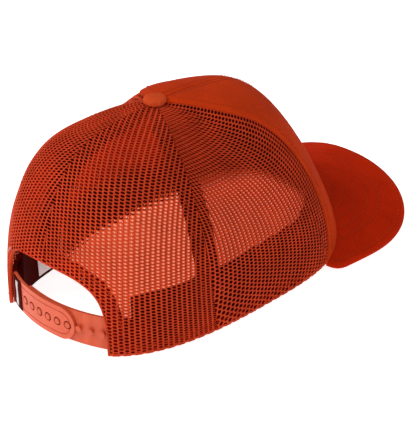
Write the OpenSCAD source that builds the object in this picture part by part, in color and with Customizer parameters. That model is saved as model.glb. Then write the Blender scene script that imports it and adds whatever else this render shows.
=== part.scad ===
// A trucker cap: a crown of two closed front panels and four mesh panels, a curved bill,
// a rear opening and a two-piece snap strap.
// Millimetres, +Z up. The bill points to -Y, so the wearer's right is -X and the rear is +Y.
// The origin is on the surface that the cap stands on, under the middle of its length.

/* [Crown] */
// Half the width of the crown at its rim
rim_half_w = 74; // [70:0.5:78]
// Length of the rim ahead of its widest place
rim_front = 87; // [82:0.5:92]
// Length of the rim behind its widest place
rim_rear = 116; // [111:0.5:121]
// Height of the button's seat above the rim below it
crown_h = 114.5; // [105:0.5:124]
// How far the button sits behind the widest place
crown_back = 22; // [16:1:28]
// Thickness of the mesh and of the front fabric
shell_t = 1.0; // [0.9:0.1:1.1]
// Thickness of the lining behind the front fabric
lining_t = 1.8; // [1.4:0.1:2]
// Width of the tape behind each seam
tape_w = 14; // [10:1:15]

/* [Rear opening] */
// Width of the rear opening at the rim
arch_w = 89; // [84:1:92]
// Height of the rear opening
arch_h = 48; // [42:1:54]
// Width of the doubled mesh round the rear opening
arch_binding_w = 9; // [6:1:11]

/* [Bill] */
// How far the bill reaches ahead of the crown
bill_reach = 57; // [50:1:66]
// Half the width of the bill at its widest place
bill_half_w = 74; // [71:0.5:80]
// Half the distance between the bill's two corners on the rim
bill_corner = 68.5; // [65:0.5:69.5]
// Height of the bill's joint above the rim, in the middle of the front
bill_root_h = 18.8; // [14:0.2:22]
// Thickness of the board inside the bill
board_t = 2.0; // [1.6:0.1:2.4]
// Thickness of each of the bill's fabric covers
cover_t = 0.8; // [0.6:0.1:0.9]
// Number of stitch rows on the bill
stitch_rows = 5; // [3:1:6]

/* [Sweatband] */
// Height of the sweatband
sweatband_h = 35; // [28:1:38]
// Thickness of the sweatband
sweatband_t = 1.5; // [1.2:0.1:1.8]

/* [Snap strap] */
// Height of both straps
strap_h = 21; // [19:1:22]
// Thickness of both straps
strap_t = 1.6; // [1.4:0.1:1.8]
// Distance from each hole or post to the next
strap_pitch = 8; // [7.8:0.1:8.4]
// Number of holes
hole_count = 6; // [5:1:6]
// Diameter of each hole
hole_d = 5.6; // [5.4:0.1:6]
// Distance from the sewn end of the strap with holes to its first hole
hole_margin = 17.9; // [17:0.1:20]
// Diameter of each post
post_d = 3.2; // [3:0.1:3.4]
// Least distance from the sewn end of the strap with posts to its nearest post
post_margin = 7; // [5:0.5:9]

/* [Button] */
// Diameter of the covered button
button_d = 13.6; // [12:0.2:15]
// Height of the covered button
button_h = 4.2; // [3.4:0.2:5]

/* [Hidden] */

// Colours.
fabric_red = [0.66, 0.17, 0.06];
mesh_red = [0.70, 0.24, 0.13];
strap_orange = [0.87, 0.40, 0.26];
lining_red = [0.50, 0.10, 0.05];
label_red = [0.38, 0.05, 0.04];
board_white = [0.90, 0.90, 0.88];

// Clearances: between neighbouring solids, and between the two straps.
seam_gap = 0.3;
layer_gap = 0.35;
strap_gap = 0.3;

// Where the rim lies. It rises towards the bill, so that the bill's edges and the corners of
// the rear opening stand on one plane.
rim_pow = 2.85;
rim_pitch = 0.0443;
rear_set_in = 2.6;
rim_y = (rim_front + bill_reach - rim_rear + rear_set_in) / 2;
rim_front_y = rim_y - rim_front;
rim_rear_y = rim_y + rim_rear;
apex_y = rim_y + crown_back;
rest_y = rim_y + rim_rear_depth(arch_w / 2);
apex_z = crown_h + lift(apex_y);

// How soon the crown leans in (spread) and how fast it rises (rise) round the head: a mean,
// then what the front, the sides and the front corners add.
spread_mean = 0.78;
spread_front = 0.04;
spread_sides = 0.3;
spread_corners = 0.09;
rise_mean = 1.2;
rise_front = 0.43;
rise_sides = 0.17;
rise_corners = 0.15;

// Seams, as angles round the head from the middle of the front.
corner_a = corner_angle(40, 70);
front_seam_bow = 14.5;
rear_seam_a = 122;
rear_seam_lean = 6;
top_t = 0.957;
lining_top_t = 0.94;
lining_inset = 3.5;
lining_most_share = 0.6;
tape_most_a = 20;
tape_side_share = 0.25;
side_tape_w = tape_w * 0.9;

// Layers of the crown, inwards from its outer face.
bulge = 0.2;
lining_d = -shell_t - layer_gap;
lining_in_d = lining_d - lining_t;
front_tape_d = lining_in_d - layer_gap;
tape_t = 0.7;
hem_t = 1.0;
welt_d = lining_in_d - layer_gap;
strap_lean = 1.35;
strap_inset = shell_t + layer_gap + hem_t + strap_lean;
sweatband_gap = 0.4;
sweatband_d = -strap_inset - 2 * strap_t - strap_gap - sweatband_gap;
welt_in_d = sweatband_d + layer_gap;
pad_d = front_tape_d - tape_t - layer_gap;
panel_seat_h = 0.5;
hem_low_h = 0.4;
hem_h = 6;
welt_h = 5;
welt_end_a = 142;
sweatband_low_h = 1.2;
sweatband_end_a = 148;
pad_a = 48;
pad_low_h = welt_h + 1;
pad_top_h = sweatband_h - 3;

// The rear opening.
arch_pow = 3.5;
arch_half_a = atan2(arch_w / 2, rim_rear_depth(arch_w / 2));
binding_a = arch_binding_w / rim_r(180 - arch_half_a) * 180 / PI;

// The bill.
bill_pow = 3.2;
bill_widest = 16;
bill_pitch = 0.08;
bill_inner_d = -0.6;
root_short_a = 1;
corner_y = rim_xy(corner_a).y;
bill_corner_h = 1.5;
bill_sag = bill_root_h - bill_corner_h + bill_pitch * (corner_y - rim_front_y);
bill_mid_y = corner_y - bill_widest;
bill_len = bill_mid_y - rim_front_y + bill_reach;
bill_back_share = pow(1 - pow(bill_corner / bill_half_w, bill_pow), 1 / bill_pow);
bill_back_len = bill_widest / bill_back_share;
bill_end_a = 180 - acos(pow(bill_back_share, bill_pow / 2));
edge_seam_w = 2.2;
layer_touch = 0.15;
stitch_first = 14;
stitch_step = 6.2;
stitch_w = 0.6;
stitch_h = 0.3;
stitch_clear = 2;
edge_seam_end = 0.96;

// The straps are arcs about one centre, which is fitted through the rear opening's edges.
strap_r_rim = (pow(arch_w / 2, 2) + pow(arch_sagitta(), 2)) / (2 * arch_sagitta());
strap_cy = rim_rear_y - strap_r_rim;
strap_z = 1;
hole_r_out = strap_r_rim - strap_inset;
hole_r_in = hole_r_out - strap_t;
post_r_out = hole_r_in - strap_gap;
post_r_in = post_r_out - strap_t;
post_proud = 0.4;
post_tip_r = hole_r_out + post_proud;
hole_root_in = 3.5;
post_root_out = 1.5;
hole_root_x = arch_w / 2 - hole_root_in;
post_root_x = arch_w / 2 + post_root_out;
hole_root_a = asin(hole_root_x / hole_r_out);
post_root_a = asin(post_root_x / post_r_out);
tip_over = 5.2;
tip_r = strap_h / 2;

// The first hole lies beside its strap's root. A post stands in each hole, and more posts
// fill the rest of their strap.
pitch_a = arc_deg(strap_pitch, hole_r_out);
hole_first_a = hole_root_a - arc_deg(hole_margin, hole_r_out);
hole_last_a = hole_first_a - (hole_count - 1) * pitch_a;
post_room = (hole_first_a + post_root_a) / 180 * PI * hole_r_out - post_margin;
post_count = 1 + floor(post_room / strap_pitch);
hole_tip_a = hole_last_a + arc_deg(tip_r - tip_over, hole_r_out);
post_tip_a = hole_first_a - arc_deg(tip_r - tip_over, post_r_out);
groove_in = 3;
groove_w = 0.5;
groove_deep = 0.35;
anchor_gap = -0.3;
tip_turn = 12;
outline_low_share = 0.6;
label_clear_a = 0.5;
anchor_d = lining_d - hem_t - seam_gap;
anchor_end_a = 144;
anchor_low_a = 135;
anchor_high_a = 170;
label_from_a = hole_root_a - arc_deg(12.5, hole_r_out);
label_to_a = hole_root_a - arc_deg(1.5, hole_r_out);
label_t = 0.7;
label_low = 1;
label_h = 19;
care_label_a = [-138, -126];
care_label_h = [4, 31];
care_label_t = 0.4;

fine = 96;

// How far a cut runs past what it cuts.
cut_over = 1;

// Steps between the points that give the crown's slope, and the t by which its outward
// direction stops being kept level.
slope_t = 0.003;
slope_a = 0.2;
level_t = 0.12;

// ---- The crown's surface ----

// How far the rim is lifted at this distance along the cap.
function lift(y) = rim_pitch * (rest_y - y);

// Length of an arc in degrees.
function arc_deg(length, r) = length / r * 180 / PI;

// How far the rim reaches from the middle of its outline, towards angle a from the front.
function rim_r(a) = pow(
    pow(abs(sin(a)) / rim_half_w, rim_pow)
    + pow(abs(cos(a)) / (cos(a) > 0 ? rim_front : rim_rear), rim_pow), -1 / rim_pow);
function rim_xy(a) = [-rim_r(a) * sin(a), rim_y - rim_r(a) * cos(a)];

// How far behind the widest place the rear rim lies at this distance from the middle.
function rim_rear_depth(x) = rim_rear * pow(1 - pow(x / rim_half_w, rim_pow), 1 / rim_pow);
function arch_sagitta() = rim_rear - rim_rear_depth(arch_w / 2);

// The angle at which the front rim is bill_corner from the middle, by halving.
function corner_angle(low, high, turns = 20) =
    let (mid = (low + high) / 2)
    turns == 0 ? mid
    : rim_r(mid) * sin(mid) < bill_corner ? corner_angle(mid, high, turns - 1)
    : corner_angle(low, mid, turns - 1);

// Height of the bill's top face. It bends down to both sides, nearly to the rim at its corners.
function bill_z(p) = bill_root_h - bill_sag * pow(p.x / bill_corner, 2)
    + bill_pitch * (p.y - rim_front_y) + lift(p.y);
function folded(a) = abs(a) > 180 ? 360 - abs(a) : abs(a);
function rim_z(a) = folded(a) < corner_a ? max(bill_z(rim_xy(a)), lift(rim_xy(a).y))
    : lift(rim_xy(a).y);

function spread(a) = spread_mean + spread_front * cos(a) - spread_sides * cos(2 * a)
    - spread_corners * cos(3 * a);
function rise(a) = rise_mean + rise_front * cos(a) + rise_sides * cos(2 * a)
    + rise_corners * cos(3 * a);

// A point of the crown's outer face: t runs from 0 at the rim to 1 at the button.
function crown(a, t) =
    let (turn = 90 * (1 - pow(1 - t, 1 / spread(a))),
        in = pow(cos(turn), spread(a)),
        up = pow(sin(turn), rise(a)),
        r = rim_xy(a),
        z = rim_z(a))
    [r.x * in, apex_y + (r.y - apex_y) * in, z + (apex_z - z) * up];

// The t at which the crown is this high above its rim.
function t_at(a, h) =
    let (turn = asin(pow(h / (apex_z - rim_z(a)), 1 / rise(a))))
    1 - pow(1 - turn / 90, spread(a));

// The outward direction, kept level at the rim so that every layer ends at one height.
function outward(a, t) =
    let (low = max(t - slope_t, 0),
        up = crown(a, t + slope_t) - crown(a, low),
        n = cross(up, crown(a + slope_a, t) - crown(a - slope_a, t)),
        unit = n / norm(n))
    [unit.x, unit.y, unit.z * min(1, t / level_t)];
function layer(a, t, d) = crown(a, t) + d * outward(a, t);

// The angle that a width covers at this place on the crown.
function wide(a, t, w) =
    let (p = crown(a, t))
    arc_deg(w, norm([p.x, p.y - apex_y]));

function mix(a, b, k) = a + (b - a) * k;
function front_seam(t) = corner_a - front_seam_bow * sin(180 * t);
function rear_seam(t) = rear_seam_a + rear_seam_lean * t;

// ---- Solids from grids of points ----

// A closed solid between two grids of the same size. Seen from the outer one, columns run to
// the left and rows run up.
module between(outer, inner) {
    rows = len(outer) - 1;
    columns = len(outer[0]) - 1;
    wide = columns + 1;
    far = (rows + 1) * wide;
    points = concat([for (row = outer) each row], [for (row = inner) each row]);
    function at(i, j, side) = side * far + j * wide + i;
    function quad(a, b, c, d) = [[a, b, c], [a, c, d]];
    skins = [for (j = [0:rows - 1], i = [0:columns - 1]) each concat(
        quad(at(i, j, 0), at(i + 1, j, 0), at(i + 1, j + 1, 0), at(i, j + 1, 0)),
        quad(at(i, j, 1), at(i, j + 1, 1), at(i + 1, j + 1, 1), at(i + 1, j, 1)))];
    ends = [for (i = [0:columns - 1]) each concat(
        quad(at(i + 1, 0, 0), at(i, 0, 0), at(i, 0, 1), at(i + 1, 0, 1)),
        quad(at(i, rows, 0), at(i + 1, rows, 0), at(i + 1, rows, 1), at(i, rows, 1)))];
    sides = [for (j = [0:rows - 1]) each concat(
        quad(at(columns, j + 1, 0), at(columns, j, 0), at(columns, j, 1), at(columns, j + 1, 1)),
        quad(at(0, j, 0), at(0, j + 1, 0), at(0, j + 1, 1), at(0, j, 1)))];
    polyhedron(points, concat(skins, ends, sides), convexity = 6);
}

// A piece of one layer of the crown. place(u, v) gives its [angle, t].
module crown_piece(place, columns, rows, d_out, d_in) {
    function grid(d) = [for (j = [0:rows]) [for (i = [0:columns])
        let (p = place(i / columns, j / rows)) layer(p[0], p[1], d)]];
    between(grid(d_out), grid(d_in));
}

// A band of one layer between two angles and two heights above the rim.
module band(from_a, to_a, low_h, high_h, columns, rows, d_out, d_in) {
    crown_piece(function(u, v)
        let (a = mix(from_a, to_a, u)) [a, t_at(a, mix(low_h, high_h, v))],
        columns, rows, d_out, d_in);
}

// A tape along a seam, by how far it reaches to each side of it.
module tape(seam, before_w, after_w, low_h, d_out) {
    crown_piece(function(u, v)
        let (mid = seam(v * top_t),
            t = mix(t_at(mid, low_h), lining_top_t, v),
            from_a = mid - min(wide(mid, t, before_w), tape_most_a),
            to_a = mid + min(wide(mid, t, after_w), tape_most_a))
        [mix(from_a, to_a, u), t],
        4, 18, d_out, d_out - tape_t);
}

module left() {
    mirror([1, 0, 0]) children();
}

// ---- Crown panels ----

module front_panel() {
    color(fabric_red) crown_piece(function(u, v)
        let (t = mix(t_at(corner_a, panel_seat_h), top_t, v),
            from_a = wide(0, t, seam_gap / 2),
            to_a = front_seam(t) - wide(front_seam(t), t, seam_gap / 2),
            a = mix(from_a, to_a, u))
        [a, mix(t_at(a, panel_seat_h), top_t, v)],
        14, 16, bulge, -shell_t);
}

module front_lining() {
    color(lining_red) crown_piece(function(u, v)
        let (t = v * lining_top_t,
            from_a = wide(0, t, seam_gap / 2),
            seam_a = front_seam(t),
            to_a = seam_a - min(wide(seam_a, t, lining_inset), seam_a * lining_most_share),
            a = mix(from_a, to_a, u))
        [a, t],
        12, 14, lining_d, lining_in_d);
}

module mesh_side() {
    color(mesh_red) crown_piece(function(u, v)
        let (t = v * top_t,
            from_a = front_seam(t) + wide(front_seam(t), t, seam_gap / 2),
            to_a = rear_seam(t) - wide(rear_seam(t), t, seam_gap / 2))
        [mix(from_a, to_a, u), t],
        14, 16, 0, -shell_t);
}

// The rear panel's lower edge runs along the rim, then over the rear opening.
module mesh_rear() {
    rim_share = 0.4;
    color(mesh_red) crown_piece(function(u, v)
        let (t = v * top_t,
            from_a = rear_seam(t) + wide(rear_seam(t), t, seam_gap / 2),
            last_a = 180 - wide(180, t, seam_gap / 2),
            round = 90 * (u - rim_share) / (1 - rim_share),
            over_arch = u > rim_share,
            a = over_arch ? min(180 - arch_half_a * pow(cos(round), 2 / arch_pow), last_a)
                : mix(from_a, 180 - arch_half_a, u / rim_share),
            low_t = over_arch ? t_at(a, arch_h * pow(sin(round), 2 / arch_pow)) : 0)
        [a, mix(low_t, top_t, v)],
        20, 16, 0, -shell_t);
}

module front_centre_tape() {
    color(lining_red) tape(function(t) 0, tape_w / 2, tape_w / 2, sweatband_h, front_tape_d);
}

module front_side_tape() {
    color(mesh_red) tape(function(t) front_seam(t), side_tape_w * tape_side_share,
        side_tape_w * (1 - tape_side_share), hem_h + layer_gap, lining_d);
}

module side_rear_tape() {
    color(mesh_red) tape(function(t) rear_seam(t), tape_w / 2, tape_w / 2, hem_h + layer_gap, lining_d);
}

module rear_centre_tape() {
    color(mesh_red) tape(function(t) 180, tape_w / 2, tape_w / 2,
        arch_h + arch_binding_w + layer_gap, lining_d);
}

// ---- Rim and sweatband ----

module rim_hem() {
    color(mesh_red) band(corner_a + wide(corner_a, 0, lining_inset),
        180 - arch_half_a - binding_a - arc_deg(layer_gap, rim_rear),
        hem_low_h, hem_h, 20, 1, lining_d, lining_d - hem_t);
}

// Doubled mesh that follows the rear opening from one corner to the other.
module arch_binding() {
    color(mesh_red) crown_piece(function(u, v)
        let (round = 180 * u,
            side = cos(round) < 0 ? -1 : 1,
            half = mix(arch_half_a, arch_half_a + binding_a, v),
            a = 180 - side * half * pow(abs(cos(round)), 2 / arch_pow),
            h = mix(arch_h, arch_h + arch_binding_w, v) * pow(abs(sin(round)), 2 / arch_pow))
        [a, t_at(a, max(h, hem_low_h))],
        36, 2, lining_d, lining_d - hem_t);
}

// The sewn-over edges of the crown and the sweatband, which join them along the rim.
module rim_welt() {
    color(lining_red) band(-welt_end_a, welt_end_a, hem_low_h + layer_gap, welt_h, 70, 1,
        welt_d, welt_in_d);
}

module sweatband() {
    color(lining_red) band(-sweatband_end_a, sweatband_end_a, sweatband_low_h, sweatband_h, 70, 2,
        sweatband_d, sweatband_d - sweatband_t);
}

module sweatband_pad() {
    color(board_white) band(-pad_a, pad_a, pad_low_h, pad_top_h, 20, 2, pad_d, welt_in_d);
}

module care_label() {
    inner = sweatband_d - sweatband_t - layer_gap;
    color(board_white) band(care_label_a[0], care_label_a[1], care_label_h[0], care_label_h[1], 6, 2,
        inner, inner - care_label_t);
}

// ---- Button ----

module button_cap() {
    ball_r = (pow(button_d / 2, 2) + pow(button_h, 2)) / (2 * button_h);
    color(strap_orange) translate([0, apex_y, apex_z + bulge + layer_gap]) intersection() {
        translate([0, 0, button_h - ball_r]) sphere(r = ball_r, $fn = fine);
        cylinder(h = button_h, r = ball_r + cut_over, $fn = fine);
    }
}

// The rivet that holds the button: a shank through the panels' meeting point and a disc inside.
module button_rivet() {
    shank_d = 3;
    disc_d = 14;
    disc_t = 0.8;
    disc_z = apex_z + front_tape_d - tape_t - layer_gap - disc_t;
    color("silver") translate([0, apex_y, 0]) {
        translate([0, 0, disc_z]) cylinder(h = disc_t, d = disc_d, $fn = fine);
        translate([0, 0, disc_z]) cylinder(h = apex_z + bulge + layer_gap - disc_z, d = shank_d, $fn = fine);
    }
}

// ---- Bill ----

// The bill's outer edge, s from -1 at the left corner to 1 at the right one, drawn in by w.
function bill_edge(s, w) =
    let (round = s * bill_end_a,
        reach = cos(round) > 0 ? bill_len - w : bill_back_len,
        side = sin(round) < 0 ? 1 : -1)
    [side * (bill_half_w - w) * pow(abs(sin(round)), 2 / bill_pow),
        bill_mid_y - sign(cos(round)) * reach * pow(abs(cos(round)), 2 / bill_pow)];

// The bill's inner edge, just under the front panels.
function bill_root(s) =
    let (p = layer(s * (corner_a - root_short_a), 0, bill_inner_d)) [p.x, p.y];

// A slab of the bill between two heights below its top face, and between two lines that
// from(s) and to(s) give.
module bill_slab(from, to, columns, rows, top, bottom) {
    function grid(drop) = [for (j = [0:rows]) [for (i = [0:columns])
        let (s = 1 - 2 * i / columns, p = mix(from(s), to(s), j / rows)) [p.x, p.y, bill_z(p) - drop]]];
    between(grid(top), grid(bottom));
}

module visor_top_cover() {
    color(fabric_red) bill_slab(function(s) bill_root(s), function(s) bill_edge(s, 0), 36, 7, 0, cover_t);
}

module visor_board() {
    color(board_white) bill_slab(function(s) bill_root(s), function(s) bill_edge(s, edge_seam_w + layer_gap),
        36, 7, cover_t + layer_touch, cover_t + layer_touch + board_t);
}

module visor_bottom_cover() {
    below = cover_t + board_t + 2 * layer_touch;
    color(fabric_red) bill_slab(function(s) bill_root(s), function(s) bill_edge(s, 0), 36, 7,
        below, below + cover_t);
}

// The covers' edges, folded in and sewn together round the board.
module visor_edge_seam() {
    color(fabric_red) bill_slab(function(s) bill_edge(s * edge_seam_end, edge_seam_w),
        function(s) bill_edge(s * edge_seam_end, layer_touch),
        40, 1, cover_t + layer_touch, cover_t + layer_touch + board_t);
}

// Rows of stitching that follow the bill's outer edge.
module visor_stitching() {
    color(strap_orange) for (row = [0:stitch_rows - 1]) {
        in = stitch_first + row * stitch_step;
        end = row_end(in);
        bill_slab(function(s) bill_edge(s * end, in + stitch_w), function(s) bill_edge(s * end, in),
            30, 1, -layer_touch - stitch_h, -layer_touch);
    }
}

// How far a place on the bill is from the rim's outline.
function off_rim(p) =
    let (to = [p.x, rim_y - p.y]) norm(to) - rim_r(atan2(abs(to.x), to.y));

// Where a stitch row drawn in by w stops, short of the crown, by halving.
function row_end(w, low = 0, high = 1, turns = 12) =
    let (mid = (low + high) / 2)
    turns == 0 ? low
    : off_rim(bill_edge(mid, w + stitch_w)) > stitch_clear ? row_end(w, mid, high, turns - 1)
    : row_end(w, low, mid, turns - 1);

// ---- Snap strap ----

// Turns its children to an angle round the straps' centre, from the rear towards the left.
module strap_at(a) {
    translate([0, strap_cy, 0]) rotate([0, 0, 90 - a]) children();
}

// A piece of a strap between two radii, from angle low_a to high_a.
module strap_arc(r_in, r_out, low_a, high_a, z, h) {
    strap_at(high_a) rotate_extrude(angle = high_a - low_a, $fn = fine)
        translate([r_in, z]) square([r_out - r_in, h]);
}

// A round bar that points outwards at one angle of the strap.
module strap_bar(a, r_in, r_out, d) {
    strap_at(a) translate([r_in, 0, strap_z + strap_h / 2]) rotate([0, 90, 0])
        cylinder(h = r_out - r_in, d = d, $fn = fine);
}

// The outline of a strap with a rounded tip, drawn in by inset and run outwards through the
// strap. side is 1 where the strap leaves its tip towards the right and -1 towards the left.
module strap_outline(tip_a, side, r_out, inset) {
    half = tip_r - inset;
    strap_at(tip_a) translate([r_out * outline_low_share, 0, strap_z + strap_h / 2]) rotate([0, 90, 0])
        linear_extrude(r_out * (1 - outline_low_share) + cut_over) {
            circle(r = half, $fn = fine);
            translate([-half, side > 0 ? 0 : -r_out]) square([2 * half, r_out]);
        }
}

// A strap from its root to its rounded tip.
module strap_blank(r_in, r_out, root_a, tip_a) {
    side = tip_a > root_a ? 1 : -1;
    end_a = tip_a + side * tip_turn;
    intersection() {
        strap_arc(r_in, r_out, min(root_a, end_a), max(root_a, end_a), strap_z - cut_over,
            strap_h + 2 * cut_over);
        strap_outline(tip_a, side, r_out, 0);
    }
}

// The angle of a hole, or of the post in it, counted from the first hole.
function hole_a(i) = hole_first_a - i * pitch_a;

module hole_strap() {
    deep_r = hole_r_out - groove_deep;
    groove_end_a = label_from_a - label_clear_a;
    color(strap_orange) difference() {
        strap_blank(hole_r_in, hole_r_out, hole_root_a, hole_tip_a);
        for (i = [0:hole_count - 1])
            strap_bar(hole_a(i), hole_r_in - cut_over, hole_r_out + cut_over, hole_d);
        intersection() {
            strap_arc(deep_r, hole_r_out + cut_over, hole_tip_a - tip_turn, groove_end_a, strap_z, strap_h);
            difference() {
                strap_outline(hole_tip_a, -1, hole_r_out, groove_in);
                strap_outline(hole_tip_a, -1, hole_r_out + cut_over, groove_in + groove_w);
            }
        }
    }
}

module post_strap() {
    color(strap_orange) {
        strap_blank(post_r_in, post_r_out, -post_root_a, post_tip_a);
        for (i = [0:post_count - 1])
            strap_bar(hole_a(i), post_r_out - strap_t / 2, post_tip_r, post_d);
    }
}

// The sewn end of a strap, between the rear opening's edge and the sweatband.
module strap_anchor(root_x, d_in) {
    color(strap_orange) band(anchor_end_a, anchor_angle(root_x + anchor_gap, d_in), strap_z, strap_h, 4, 2,
        anchor_d, d_in);
}

// The angle at which a layer of the rear rim is x from the middle, by halving.
function anchor_angle(x, d, low = anchor_low_a, high = anchor_high_a, turns = 16) =
    let (mid = (low + high) / 2)
    turns == 0 ? mid
    : abs(layer(mid, 0, d).x) > x ? anchor_angle(x, d, mid, high, turns - 1)
    : anchor_angle(x, d, low, mid, turns - 1);

module loop_label() {
    color(label_red) strap_arc(hole_r_out + layer_touch / 2, hole_r_out + layer_touch / 2 + label_t,
        label_from_a, label_to_a, strap_z + label_low, label_h);
}

left() front_panel();  // front_panel_left
front_panel();  // front_panel_right
left() front_lining();  // front_lining_left
front_lining();  // front_lining_right
left() mesh_side();  // mesh_side_left
mesh_side();  // mesh_side_right
left() mesh_rear();  // mesh_rear_left
mesh_rear();  // mesh_rear_right
front_centre_tape();  // tape_front_centre
left() front_side_tape();  // tape_front_side_left
front_side_tape();  // tape_front_side_right
left() side_rear_tape();  // tape_side_rear_left
side_rear_tape();  // tape_side_rear_right
rear_centre_tape();  // tape_rear_centre
left() rim_hem();  // rim_hem_left
rim_hem();  // rim_hem_right
arch_binding();
rim_welt();
sweatband();
sweatband_pad();
care_label();
button_cap();
button_rivet();
visor_board();
visor_top_cover();
visor_bottom_cover();
visor_edge_seam();
visor_stitching();
hole_strap();
left() strap_anchor(hole_root_x, -strap_inset - strap_t);  // hole_strap_anchor
post_strap();
strap_anchor(post_root_x, -strap_inset - 2 * strap_t - strap_gap);  // post_strap_anchor
loop_label();
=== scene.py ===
# A trucker cap: woven front panels and bill, see-through knitted mesh, a plastic snap strap.
import math

import bpy
import numpy as np
from mathutils import Matrix, Vector


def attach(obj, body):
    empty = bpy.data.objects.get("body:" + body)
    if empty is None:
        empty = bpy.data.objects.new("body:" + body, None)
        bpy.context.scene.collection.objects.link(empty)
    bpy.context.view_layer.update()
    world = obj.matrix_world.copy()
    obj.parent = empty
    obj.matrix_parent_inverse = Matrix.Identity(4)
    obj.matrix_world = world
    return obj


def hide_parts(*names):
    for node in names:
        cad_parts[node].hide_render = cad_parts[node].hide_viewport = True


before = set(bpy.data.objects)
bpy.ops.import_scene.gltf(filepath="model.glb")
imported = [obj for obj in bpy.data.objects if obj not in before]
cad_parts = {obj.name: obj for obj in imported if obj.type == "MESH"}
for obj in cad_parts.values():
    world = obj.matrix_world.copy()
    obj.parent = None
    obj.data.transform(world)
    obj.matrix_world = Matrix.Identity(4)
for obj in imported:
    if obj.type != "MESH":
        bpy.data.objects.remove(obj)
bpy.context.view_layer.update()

MM = 0.001

# ---- Sizes of the cap, as in the CAD source, in millimetres and degrees ----
# Angles run round the head from the front, positive on the wearer's right. t runs up the crown,
# from 0 at the rim to 1 at the button, and a depth d is positive outwards.

RIM_HALF_W, RIM_FRONT, RIM_REAR, RIM_POW = 74.0, 87.0, 116.0, 2.85
RIM_PITCH, REAR_SET_IN = 0.0443, 2.6
CROWN_H, CROWN_BACK = 114.5, 22.0
SPREAD = (0.78, 0.04, -0.3, -0.09)  # how soon the crown leans in: a mean and three waves
RISE = (1.2, 0.43, 0.17, 0.15)  # how fast it rises, in the same way
ARCH_W, ARCH_H, ARCH_EDGE_W, ARCH_POW = 89.0, 48.0, 9.0, 3.5
BILL_REACH, BILL_HALF_W, BILL_CORNER, BILL_T = 57.0, 74.0, 68.5, 3.9
BILL_ROOT_H, BILL_CORNER_H, BILL_PITCH, BILL_POW, BILL_WIDEST = 18.8, 1.5, 0.08, 3.2, 16.0
STRAP_H, STRAP_T, STRAP_PITCH, STRAP_GAP, STRAP_Z, STRAP_INSET = 21.0, 1.6, 4.7365, 0.3, 1.0, 3.7
HOLE_FIRST_A, POSTS = 14.469, 9
TOP_T = 0.957  # where the panels end, under the button
SEAM_HALF_GAP = 0.15
SWEATBAND_H, SWEATBAND_D, SWEATBAND_T = 35.0, -7.6, 1.5
REAR_SEAM_A, REAR_SEAM_LEAN, FRONT_SEAM_BOW = 122.0, 6.0, 14.5

# ---- How the worn cloth differs from the CAD: an amount, and (place, width) pairs for hill() ----

SEAM_PULL, SEAM_PULL_T = 4, (0.8, 0.15)
FOLD, FOLD_A, FOLD_T = 0.9, (150, 9), (0.17, 0.1)
CREASE, CREASE_A, CREASE_T = 0.6, (80, 26), (0.8, 0.13)
SEAM_TURN, SEAM_TURN_A = 14, (56, 25)
SEAM_BACK, SEAM_BACK_A, SEAM_BACK_LEAST = 16, (66, 26), 0.2
FRONT_SAG, FRONT_SAG_A, FRONT_SAG_R = 1.7, (18, 30), (47, 15)
REAR_SAG, REAR_SAG_A, REAR_SAG_R = 4.5, (130, 30), (40, 20)
LEAN, LEAN_A, LEAN_TOP_Z = 8, (135, 16), 40


def sind(a):
    return np.sin(np.radians(a))


def cosd(a):
    return np.cos(np.radians(a))


def hill(x, place, width):
    """1 at the place, and 0.37 at this width from it."""
    return np.exp(-(((x - place) / width) ** 2))


def rim_rear_depth(x):
    return RIM_REAR * (1 - (x / RIM_HALF_W) ** RIM_POW) ** (1 / RIM_POW)


RIM_Y = (RIM_FRONT + BILL_REACH - RIM_REAR + REAR_SET_IN) / 2
APEX_Y = RIM_Y + CROWN_BACK
REST_Y = RIM_Y + rim_rear_depth(ARCH_W / 2)


def lift(y):
    """How high the tilted rim plane is over the table."""
    return RIM_PITCH * (REST_Y - y)


APEX_Z = CROWN_H + lift(APEX_Y)


def rim_r(a):
    s, c = np.abs(sind(a)), cosd(a)
    depth = np.where(c > 0, RIM_FRONT, RIM_REAR)
    return ((s / RIM_HALF_W) ** RIM_POW + (np.abs(c) / depth) ** RIM_POW) ** (-1 / RIM_POW)


def rim_xy(a):
    r = rim_r(a)
    return -r * sind(a), RIM_Y - r * cosd(a)


def halving(test, low, high):
    """Where the test stops being true between low and high."""
    for _ in range(40):
        mid = (low + high) / 2
        low, high = (mid, high) if test(mid) else (low, mid)
    return (low + high) / 2


CORNER_A = halving(lambda a: float(rim_r(a) * sind(a)) < BILL_CORNER, 40.0, 70.0)
CORNER_Y = float(rim_xy(CORNER_A)[1])
RIM_FRONT_Y = RIM_Y - RIM_FRONT
BILL_SAG = BILL_ROOT_H - BILL_CORNER_H + BILL_PITCH * (CORNER_Y - RIM_FRONT_Y)
ARCH_HALF_A = math.degrees(math.atan2(ARCH_W / 2, rim_rear_depth(ARCH_W / 2)))


def bill_z(x, y):
    sag = BILL_SAG * (x / BILL_CORNER) ** 2
    return BILL_ROOT_H - sag + BILL_PITCH * (y - RIM_FRONT_Y) + lift(y)


def rim_z(a):
    a = np.abs(np.asarray(a, float))
    a = np.where(a > 180, 360 - a, a)
    x, y = rim_xy(a)
    return np.where(a < CORNER_A, np.maximum(bill_z(x, y), lift(y)), lift(y))


def waves(a, sizes):
    """A mean and waves of one, two and three turns round the head."""
    return sizes[0] + sizes[1] * cosd(a) + sizes[2] * cosd(2 * a) + sizes[3] * cosd(3 * a)


def crown(a, t):
    """The crown's surface, as points in mm."""
    a, t = np.broadcast_arrays(np.asarray(a, float), np.clip(t, 0, 1))
    turn = 90 * (1 - (1 - t) ** (1 / waves(a, SPREAD)))
    inward = np.maximum(cosd(turn), 0) ** waves(a, SPREAD)
    up = np.maximum(sind(turn), 0) ** waves(a, RISE)
    x, y = rim_xy(a)
    z = rim_z(a)
    return np.stack([x * inward, APEX_Y + (y - APEX_Y) * inward, z + (APEX_Z - z) * up], -1)


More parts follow.
